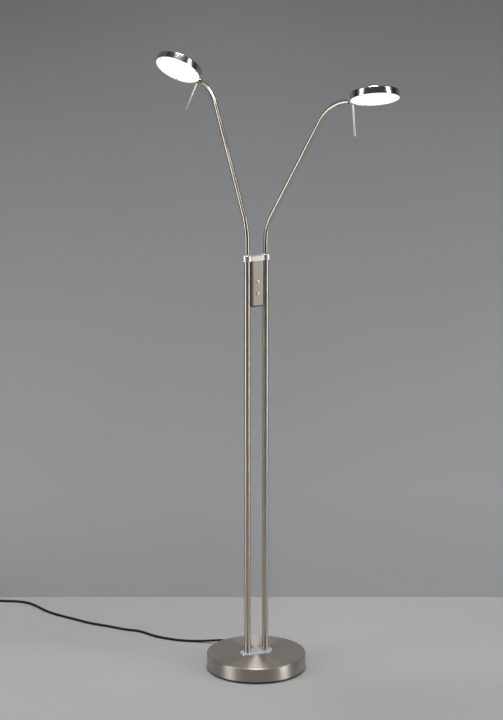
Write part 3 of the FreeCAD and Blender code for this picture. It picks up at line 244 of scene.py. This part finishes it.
# Distance past the last turn, and how far the cord has come down to the plug by there.
TAIL_STEPS = ((0.014, 0.1), (0.030, 0.9), (COIL_TAIL, 1), (COIL_TAIL + COIL_LEAD, 1))
PLUG_AXIS_HEIGHT = 0.007
POINTS_PER_TURN = 16


def coil_points(before, start):
    """Control points of the coil: in on the floor, a climb of one layer, and out again on top."""
    heading = (start - before).normalized()
    sideways = Vector((-heading.y, heading.x, 0))
    centre = start + heading * COIL_LEAD + sideways * COIL_OUTER
    first = math.atan2(-sideways.y, -sideways.x)
    outward = 1 / math.cos(math.pi / POINTS_PER_TURN) ** 0.5
    spots = []
    for step in range(1, round(COIL_TURNS * POINTS_PER_TURN) + 1):
        turns = step / POINTS_PER_TURN
        radius = COIL_OUTER - COIL_PITCH * (COIL_TURNS_IN - abs(COIL_TURNS_IN - turns))
        climbed = min(max((turns - COIL_TURNS_IN) / CLIMB_TURNS + 0.5, 0), 1)
        eased = climbed * climbed * (3 - 2 * climbed)
        angle = first + 2 * math.pi * turns
        flat = Vector((math.cos(angle), math.sin(angle), 0)) * radius * outward
        spots.append(centre + flat + Vector((0, 0, COIL_PITCH * eased)))
    along = Vector((-math.sin(angle), math.cos(angle), 0))
    drop = Vector((0, 0, PLUG_AXIS_HEIGHT - spots[-1].z))
    last = centre + Vector((math.cos(angle), math.sin(angle), 0)) * radius
    last.z = spots[-1].z
    spots += [last + along * out + drop * share for out, share in TAIL_STEPS]
    return spots


route = [Vector(CORD_EXIT)] + [Vector(spot) for spot in CORD_ROUTE]
route += coil_points(route[-2], route[-1])
cord_data = bpy.data.curves.new("mains_cord", "CURVE")
cord_data.dimensions = "3D"
cord_data.bevel_depth = CORD_RADIUS
cord_data.bevel_resolution = 5
cord_data.use_fill_caps = True
cord_data.resolution_u = 8
spline = cord_data.splines.new("NURBS")
spline.points.add(len(route) - 1)
for point, spot in zip(spline.points, route):
    point.co = (*spot, 1.0)
spline.order_u = 3
spline.use_endpoint_u = True
cord = bpy.data.objects.new("mains_cord", cord_data)
bpy.context.scene.collection.objects.link(cord)

rubber = Finish("cord_rubber", {"Specular IOR Level": 0.2})
skin = rubber.noise(rubber.place(), 900, 4.0)
dust = rubber.noise(rubber.place(), 60, 3.0)
rubber.feed("Base Color", rubber.blend(dust, grey(0.006), grey(0.014)))
rubber.feed("Roughness", rubber.span(dust, 0.3, 0.7, 0.42, 0.6))
rubber.relief(skin, 0.00008)
cord_data.materials.append(rubber.material)

black = Finish("black_plastic", {"Specular IOR Level": 0.45})
spark = black.noise(black.place(), 1800, 2.0)
cloud = black.noise(black.place(), 40, 3.0)
black.feed("Base Color", black.blend(cloud, grey(0.016), grey(0.028)))
black.feed("Roughness", black.span(spark, 0.3, 0.7, 0.4, 0.58))
black.relief(spark, 0.00006)

zinc = Finish("zinc_steel", {"Metallic": 1.0})
frost = zinc.node("ShaderNodeTexVoronoi", {}, {"Vector": zinc.place(), "Scale": 700})
zinc.feed("Base Color", zinc.blend(frost, grey(0.52, 0.01), grey(0.68, 0.01)))
zinc.feed("Roughness", zinc.span(frost, 0.0, 0.8, 0.28, 0.45))
zinc.relief(zinc.noise(zinc.place(), 1200), 0.00003)


def dress(finish, *nodes):
    """Gives CAD nodes their finish."""
    for node in nodes:
        piece = frame["nodes"][node]
        for held in piece.material_slots:
            held.material = finish.material


dress(black, "cord_gland", "plug_body")
dress(zinc, "plug_pins")
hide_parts("cord_run", "cord_coil")
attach(cord, "stand")

# ---------------------------------------------------------------------------------------------
# Base: a pressed steel cover with a rolled edge, spun with a fine circular grain and plated in
# satin nickel. It hides a cast iron weight, the bottom plate and the power supply, and the whole
# lamp stands on a slightly smaller pad of dense black foam.
# ---------------------------------------------------------------------------------------------
NICKEL = (0.53, 0.475, 0.42, 1.0)
NICKEL_LIGHT = (0.61, 0.55, 0.49, 1.0)
COVER_SIDE = 0.1225
SIDE_ROUGHER = 0.16
SMOOTH_UNDER = math.radians(32)


def polish(node, finish):
    """Smooth copy of a turned or bent CAD node, which shows in its place."""
    source = frame["nodes"][node]
    form = bmesh.new()
    form.from_mesh(source.data)
    bmesh.ops.remove_doubles(form, verts=form.verts, dist=1e-6)
    form.transform(source.matrix_world)
    for face in form.faces:
        face.smooth = True
    for edge in form.edges:
        edge.smooth = len(edge.link_faces) == 2 and edge.calc_face_angle() < SMOOTH_UNDER
    mesh = bpy.data.meshes.new(node + "_skin")
    form.to_mesh(mesh)
    form.free()
    mesh.materials.append(finish.material)
    piece = bpy.data.objects.new(node + "_skin", mesh)
    bpy.context.scene.collection.objects.link(piece)
    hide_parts(node)
    bodies = frame["record"]["behaviour"]["bodies"]
    body = next(name for name, held in bodies.items() if node in held)
    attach(piece, body)


spun = Finish("spun_nickel", {"Metallic": 1.0, "Anisotropic": 0.92, "Anisotropic Rotation": 0.25})
reach = spun.node("ShaderNodeVectorMath", {"operation": "LENGTH"},
                  {0: spun.place((1, 1, 0))}, out=1)
rings = spun.node("ShaderNodeTexNoise", {"noise_dimensions": "1D"},
                  {"W": reach, "Scale": 2600, "Detail": 3.0, "Roughness": 0.7})
tint = spun.noise(spun.place(), 14, 3.0)
spun.feed("Base Color", spun.blend(tint, NICKEL, NICKEL_LIGHT))
spun.feed("Roughness",
          spun.span(rings, 0.2, 0.8, 0.26, 0.36) + (reach > COVER_SIDE) * SIDE_ROUGHER)
spun.relief(rings, 0.00001, 0.9)

foam = Finish("foot_foam", {"Roughness": 0.95, "Specular IOR Level": 0.15})
cells = foam.node("ShaderNodeTexVoronoi", {}, {"Vector": foam.place(), "Scale": 900})
foam.feed("Base Color", foam.blend(cells, grey(0.012), grey(0.03)))
foam.relief(cells, 0.0002)

iron = Finish("painted_iron", {"Roughness": 0.7})
sand = iron.noise(iron.place(), 350, 5.0)
iron.feed("Base Color", iron.blend(sand, grey(0.03), grey(0.07)))
iron.relief(sand, 0.0006)

polish("base_cover", spun)
polish("foot_pad", foam)
dress(iron, "base_weight")
dress(zinc, "base_bottom_plate", "base_screws")
dress(black, "power_supply")

# ---------------------------------------------------------------------------------------------
# Poles: two 16 mm steel tubes, brushed and plated in satin nickel, side by side on a small
# polished plate. Hollow studs, washers and nuts hold them down from inside the base.
# ---------------------------------------------------------------------------------------------
brushed = Finish("brushed_nickel", {"Metallic": 1.0, "Anisotropic": 0.8,
                                    "Anisotropic Rotation": 0.25})
fibres = brushed.noise(brushed.place((1, 1, 0.012)), 1500, 3.0, 0.65)
tone = brushed.noise(brushed.place((1, 1, 0.1)), 30, 2.0)
brushed.feed("Base Color", brushed.blend(tone, NICKEL, NICKEL_LIGHT))
brushed.feed("Roughness", brushed.span(fibres, 0.25, 0.75, 0.2, 0.36))
brushed.relief(fibres, 0.000006, 0.6)

chrome = Finish("bright_chrome", {"Metallic": 1.0})
smear = chrome.noise(chrome.place(), 45, 4.0)
chrome.feed("Base Color", chrome.blend(smear, grey(0.80), grey(0.86)))
chrome.feed("Roughness", chrome.span(smear, 0.3, 0.8, 0.04, 0.10))

plate_chrome = Finish("plate_chrome", {"Metallic": 0.5, "Roughness": 0.2})
breath = plate_chrome.noise(plate_chrome.place(), 60, 3.0)
plate_chrome.feed("Base Color", plate_chrome.blend(breath, (0.70, 0.74, 0.78, 1),
                                                   (0.80, 0.84, 0.87, 1)))

for pole in ("pole_left", "pole_right"):
    polish(pole, brushed)
polish("pole_plate", plate_chrome)
dress(zinc, "pole_plugs", "pole_studs", "pole_washers", "pole_nuts")

# ---------------------------------------------------------------------------------------------
# Cross piece: zinc casting in satin chrome, with a ring round each pole under the swivelling
# arms. Set screws at its back clamp it, and two screws inside the switch box hold that up to it.
# ---------------------------------------------------------------------------------------------
pearl = Finish("pearl_chrome", {"Metallic": 1.0, "Roughness": 0.40})
cloudy = pearl.noise(pearl.place(), 90, 3.0)
pearl.feed("Base Color", pearl.blend(cloudy, (0.80, 0.77, 0.74, 1), (0.88, 0.86, 0.83, 1)))
pearl.relief(pearl.noise(pearl.place(), 1500), 0.00001, 0.5)
polish("bridge", pearl)
dress(zinc, "bridge_set_screws", "box_screws")

# ---------------------------------------------------------------------------------------------
# Switch box: folded steel channel, brushed lengthwise and plated, with a moulded black cap and
# rear cover. Two domed buttons in its face press on small switches on the board inside.
# ---------------------------------------------------------------------------------------------
REAR_SCREWS = [(0.0, 0.0120, 0.955), (0.0, 0.0120, 1.044)]
SCREW_HEAD = 0.0027
SCREW_HEAD_THICK = 0.0016
SCREW_SLOT = 0.0007
HEAD_SIDES = 28
SLOT_REACH = 1.2


def new_tree(name, inputs):
    """Geometry tree that takes points and the named inputs, and gives finished pieces."""
    tree = bpy.data.node_groups.new(name, "GeometryNodeTree")
    face = tree.interface
    face.new_socket("Points", in_out="INPUT", socket_type="NodeSocketGeometry")
    for label, kind in inputs.items():
        face.new_socket(label, in_out="INPUT", socket_type="NodeSocket" + kind)
    face.new_socket("Finish", in_out="INPUT", socket_type="NodeSocketMaterial")
    face.new_socket("Pieces", in_out="OUTPUT", socket_type="NodeSocketGeometry")
    return tree


def tree_node(tree, kind, inputs, **settings):
    """Node with its settings, and then its inputs, each of which is a link or a value."""
    made = tree.nodes.new(kind)
    for key, value in settings.items():
        setattr(made, key, value)
    for key, value in inputs.items():
        if hasattr(value, "is_linked"):
            tree.links.new(value, made.inputs[key])
        else:
            made.inputs[key].default_value = value
    return made


def close_tree(tree, spread, given):
    """Makes the tree's instances real, with their finish on, and hands them out."""
    real = tree_node(tree, "GeometryNodeRealizeInstances", {"Geometry": spread.outputs[0]})
    coated = tree_node(tree, "GeometryNodeSetMaterial", {"Geometry": real.outputs[0],
                                                         "Material": given["Finish"]})
    tree_node(tree, "NodeGroupOutput", {0: coated.outputs[0]})
    return tree


def screw_tree(name):
    """Node tree: a screw head with a cross recess on each point, its top towards local +Z."""
    tree = new_tree(name, {"Head Radius": "Float", "Head Thickness": "Float",
                           "Slot Width": "Float", "Tilt": "Vector"})
    given = tree_node(tree, "NodeGroupInput", {}).outputs
    head = tree_node(tree, "GeometryNodeMeshCylinder", {
        "Vertices": HEAD_SIDES, "Radius": given["Head Radius"], "Depth": given["Head Thickness"]})
    long_slot = tree_node(tree, "ShaderNodeMath", {0: given["Head Radius"], 1: SLOT_REACH},
                          operation="MULTIPLY")
    slots = tree_node(tree, "GeometryNodeJoinGeometry", {})
    top = tree_node(tree, "ShaderNodeMath", {0: given["Head Thickness"], 1: 0.5},
                    operation="MULTIPLY")
    lift = tree_node(tree, "ShaderNodeCombineXYZ", {"Z": top.outputs[0]})
    for along in (0, 1):
        sides = tree_node(tree, "ShaderNodeCombineXYZ", {
            "X": long_slot.outputs[0] if along else given["Slot Width"],
            "Y": given["Slot Width"] if along else long_slot.outputs[0],
            "Z": given["Head Thickness"]})
        bar = tree_node(tree, "GeometryNodeMeshCube", {"Size": sides.outputs[0]})
        raised = tree_node(tree, "GeometryNodeTransform", {"Geometry": bar.outputs[0],
                                                           "Translation": lift.outputs[0]})
        tree.links.new(raised.outputs[0], slots.inputs[0])
    recess = tree_node(tree, "GeometryNodeMeshBoolean", {0: head.outputs["Mesh"],
                                                         1: slots.outputs[0]},
                       operation="DIFFERENCE")
    seated = tree_node(tree, "GeometryNodeTransform", {"Geometry": recess.outputs[0],
                                                       "Translation": lift.outputs[0]})
    spread = tree_node(tree, "GeometryNodeInstanceOnPoints", {
        "Points": given["Points"], "Instance": seated.outputs[0], "Rotation": given["Tilt"]})
    return close_tree(tree, spread, given)


def grow(name, tree, spots, inputs, place=None):
    """Plain mesh object from a node tree run on a few points."""
    seed = bpy.data.meshes.new(name + "_points")
    seed.from_pydata(spots, [], [])
    host = bpy.data.objects.new(name + "_points", seed)
    bpy.context.scene.collection.objects.link(host)
    modifier = host.modifiers.new("tree", "NODES")
    modifier.node_group = tree
    for item in tree.interface.items_tree:
        if item.in_out == "INPUT" and item.name in inputs:
            modifier[item.identifier] = inputs[item.name]
    evaluated = host.evaluated_get(bpy.context.evaluated_depsgraph_get())
    mesh = bpy.data.meshes.new_from_object(evaluated)
    bpy.data.objects.remove(host)
    if place is not None:
        mesh.transform(place)
    piece = bpy.data.objects.new(name, mesh)
    bpy.context.scene.collection.objects.link(piece)
    return piece


screws = screw_tree("cross_head_screws")
rear_heads = grow("rear_cover_screw_heads", screws, REAR_SCREWS,
                  {"Head Radius": SCREW_HEAD, "Head Thickness": SCREW_HEAD_THICK,
                   "Slot Width": SCREW_SLOT, "Tilt": (math.radians(-90), 0, 0),
                   "Finish": zinc.material})
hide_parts("rear_cover_screws")
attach(rear_heads, "stand")

board_green = Finish("circuit_board", {"Roughness": 0.35})
tracks = board_green.node("ShaderNodeTexBrick", {}, {
    "Vector": board_green.place(turned=(math.radians(90), 0, 0)), "Scale": 180.0,
    "Color1": (0.02, 0.16, 0.06, 1), "Color2": (0.03, 0.20, 0.08, 1),
    "Mortar": (0.06, 0.30, 0.13, 1)})
board_green.feed("Base Color", tracks)

sheet_nickel = Finish("sheet_nickel", {"Metallic": 1.0, "Anisotropic": 0.7})
grain = sheet_nickel.noise(sheet_nickel.place((1, 1, 0.015)), 1500, 3.0, 0.65)
sheet_nickel.feed("Base Color", sheet_nickel.blend(grain, (0.42, 0.375, 0.335, 1),
                                                   (0.50, 0.45, 0.405, 1)))
sheet_nickel.feed("Roughness", sheet_nickel.span(grain, 0.25, 0.75, 0.28, 0.42))
sheet_nickel.relief(grain, 0.00001, 0.6)

dress(sheet_nickel, "switch_box_housing")
dress(black, "switch_box_cap", "switch_box_rear_cover", "push_switches")
dress(board_green, "switch_board")
for button in ("button_upper", "button_lower"):
    polish(button, pearl)

# ---------------------------------------------------------------------------------------------
# Arms: 12 mm steel tube, bent twice and plated with a soft satin sheen. Each stands in a nylon
# bush in the mouth of its pole and turns on a stop ring further down.
# ---------------------------------------------------------------------------------------------
satin = Finish("satin_nickel", {"Metallic": 1.0, "Anisotropic": 0.6,
                                "Anisotropic Rotation": 0.25})
silk = satin.noise(satin.place(), 1700, 3.0)
drift = satin.noise(satin.place(), 18, 3.0)
satin.feed("Base Color", satin.blend(drift, NICKEL, NICKEL_LIGHT))
satin.feed("Roughness", satin.span(drift, 0.3, 0.7, 0.20, 0.30))
satin.relief(silk, 0.000006, 0.5)

nylon = Finish("grey_nylon", {"Roughness": 0.45, "Subsurface Weight": 0.05})
haze = nylon.noise(nylon.place(), 300, 3.0)
nylon.feed("Base Color", nylon.blend(haze, grey(0.16), grey(0.22)))
nylon.relief(haze, 0.00005)

for side in ("left", "right"):
    polish("arm_" + side, satin)
    dress(nylon, "arm_bush_" + side, "ball_seat_" + side)
dress(nylon, "arm_stops")

# ---------------------------------------------------------------------------------------------
# Heads: shallow turned aluminium cup on a polished ball, with a thin handle rod. A frosted disc
# held by three small screws closes it; behind the disc sit two rings of LEDs on a white board and
# an aluminium heat spreader.
# ---------------------------------------------------------------------------------------------
# Bearing, lift and roll of each head, and the angle of its first diffuser screw, in degrees.
HEADS = {"left": (175.4, 34.4, 20.8, 0.0), "right": (-60.8, 16.0, -16.3, 30.0)}
HEAD_MIDDLE = 0.0665
HEAD_RADIUS = 0.059
HEAD_HALF = 0.009
SCREW_RING = 0.053
DISC_SCREW_HEAD = 0.0022
DISC_SCREW_THICK = 0.001
DISC_SCREW_SLOT = 0.0006
RIM_SHADE = (0.72, 0.97)
CHIP_RINGS = ((0.040, 26), (0.022, 14))
CHIP_SIZE = (0.0028, 0.0028, 0.0008)
CHIP_PLACE = 0.0019


def chip_tree(name):
    """Node tree: one ring of square LED chips round the origin."""
    tree = new_tree(name, {"Ring Radius": "Float", "Chip Count": "Int", "Chip Size": "Vector"})
    given = tree_node(tree, "NodeGroupInput", {}).outputs
    ring = tree_node(tree, "GeometryNodeMeshCircle", {"Radius": given["Ring Radius"],
                                                      "Vertices": given["Chip Count"]})
    chip = tree_node(tree, "GeometryNodeMeshCube", {"Size": given["Chip Size"]})
    spread = tree_node(tree, "GeometryNodeInstanceOnPoints", {"Points": ring.outputs[0],
                                                              "Instance": chip.outputs[0]})
    return close_tree(tree, spread, given)


def head_place(side):
    """The head's own frame: X from the ball to the disc's middle, the lit face towards -Z."""
    bearing, lift, roll, _ = HEADS[side]
    joint = next(j for j in frame["joints"] if j["name"] == "head_%s_roll" % side)
    spot = Matrix.Translation(Vector(joint["pos_m"]))
    turn = Matrix.Rotation(math.radians(bearing), 4, "Z")
    tip = Matrix.Rotation(math.radians(-lift), 4, "Y")
    return spot @ turn @ tip @ Matrix.Rotation(math.radians(roll), 4, "X")


phosphor = Finish("led_phosphor", {"Roughness": 0.4, "Emission Strength": 1.0,
                                   "Emission Color": (1.0, 0.93, 0.72, 1)})
dapple = phosphor.noise(phosphor.place(), 2500)
phosphor.feed("Base Color", phosphor.blend(dapple, (0.85, 0.75, 0.30, 1), (0.95, 0.85, 0.42, 1)))
chips = chip_tree("led_ring")

for side, (_, _, _, first_screw) in HEADS.items():
    spot = head_place(side)
    middle = spot @ Vector((HEAD_MIDDLE, 0, 0))
    facing = spot.to_euler()

    shell_metal = Finish("head_metal_" + side, {"Metallic": 1.0, "Anisotropic": 0.5,
                                                "Anisotropic Rotation": 0.25})
    own = shell_metal.place(middle=middle, turned=facing)
    across = shell_metal.node("ShaderNodeVectorMath", {"operation": "MULTIPLY"},
                              {0: own, 1: (1, 1, 0)})
    ring = shell_metal.node("ShaderNodeVectorMath", {"operation": "LENGTH"}, {0: across}, out=1)
    depth = shell_metal.node("ShaderNodeSeparateXYZ", {}, {0: own}, out=2)
    lathe = shell_metal.node("ShaderNodeTexNoise", {"noise_dimensions": "1D"},
                             {"W": ring + depth, "Scale": 3000, "Detail": 3.0, "Roughness": 0.65})
    shade = shell_metal.noise(shell_metal.place(), 25, 3.0)
    shell_metal.feed("Base Color", shell_metal.blend(shade, (0.56, 0.52, 0.48, 1),
                                                     (0.64, 0.60, 0.56, 1)))
    shell_metal.feed("Roughness", shell_metal.span(lathe, 0.2, 0.8, 0.13, 0.22))
    shell_metal.relief(lathe, 0.000006, 0.7)

    opal = Finish("opal_disc_" + side, {"Roughness": 0.45, "Emission Strength": 1.15,
                                        "Subsurface Weight": 0.1})
    flat = opal.node("ShaderNodeVectorMath", {"operation": "LENGTH"},
                     {0: opal.place((1, 1, 0), middle, facing)}, out=1)
    edge = opal.span(flat, *(HEAD_RADIUS * share for share in RIM_SHADE))
    frosting = opal.noise(opal.place(), 2200, 2.0)
    opal.feed("Base Color", opal.blend(frosting, (0.88, 0.87, 0.84, 1), (0.94, 0.93, 0.90, 1)))
    opal.feed("Emission Color", opal.blend(edge, (1.0, 0.975, 0.93, 1), (0.62, 0.60, 0.55, 1)))
    opal.relief(frosting, 0.00003)

    white_board = Finish("led_board_" + side, {"Roughness": 0.4})
    speck = white_board.noise(white_board.place(), 500, 3.0)
    white_board.feed("Base Color", white_board.blend(speck, grey(0.78), grey(0.86)))
    spreader_metal = Finish("spreader_metal_" + side, {"Metallic": 1.0, "Roughness": 0.42})
    mill = spreader_metal.noise(spreader_metal.place((1, 0.05, 1), middle, facing), 900, 3.0)
    spreader_metal.feed("Base Color", spreader_metal.blend(mill, grey(0.66), grey(0.76)))
    spreader_metal.relief(mill, 0.00004)

    polish("head_shell_" + side, shell_metal)
    polish("head_ball_" + side, chrome)
    polish("handle_rod_" + side, pearl)
    polish("diffuser_" + side, opal)
    dress(spreader_metal, "heat_spreader_" + side)
    dress(white_board, "led_board_" + side)
    dress(zinc, "neck_nut_" + side, "led_screws_" + side)

    holes = [(HEAD_MIDDLE + SCREW_RING * math.cos(math.radians(first_screw + third)),
              SCREW_RING * math.sin(math.radians(first_screw + third)),
              -HEAD_HALF + DISC_SCREW_THICK) for third in (0, 120, 240)]
    heads = grow("diffuser_screw_heads_" + side, screws, holes,
                 {"Head Radius": DISC_SCREW_HEAD, "Head Thickness": DISC_SCREW_THICK,
                  "Slot Width": DISC_SCREW_SLOT, "Tilt": (math.radians(180), 0, 0),
                  "Finish": zinc.material}, spot)
    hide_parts("diffuser_screws_" + side)
    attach(heads, "head_" + side)
    for count, (radius, chip_count) in enumerate(CHIP_RINGS):
        seat = spot @ Matrix.Translation((HEAD_MIDDLE, 0, CHIP_PLACE))
        lit = grow("led_chips_%s_%d" % (side, count), chips, [(0, 0, 0)],
                   {"Ring Radius": radius, "Chip Count": chip_count,
                    "Chip Size": CHIP_SIZE, "Finish": phosphor.material}, seat)
        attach(lit, "head_" + side)

bpy.context.view_layer.update()
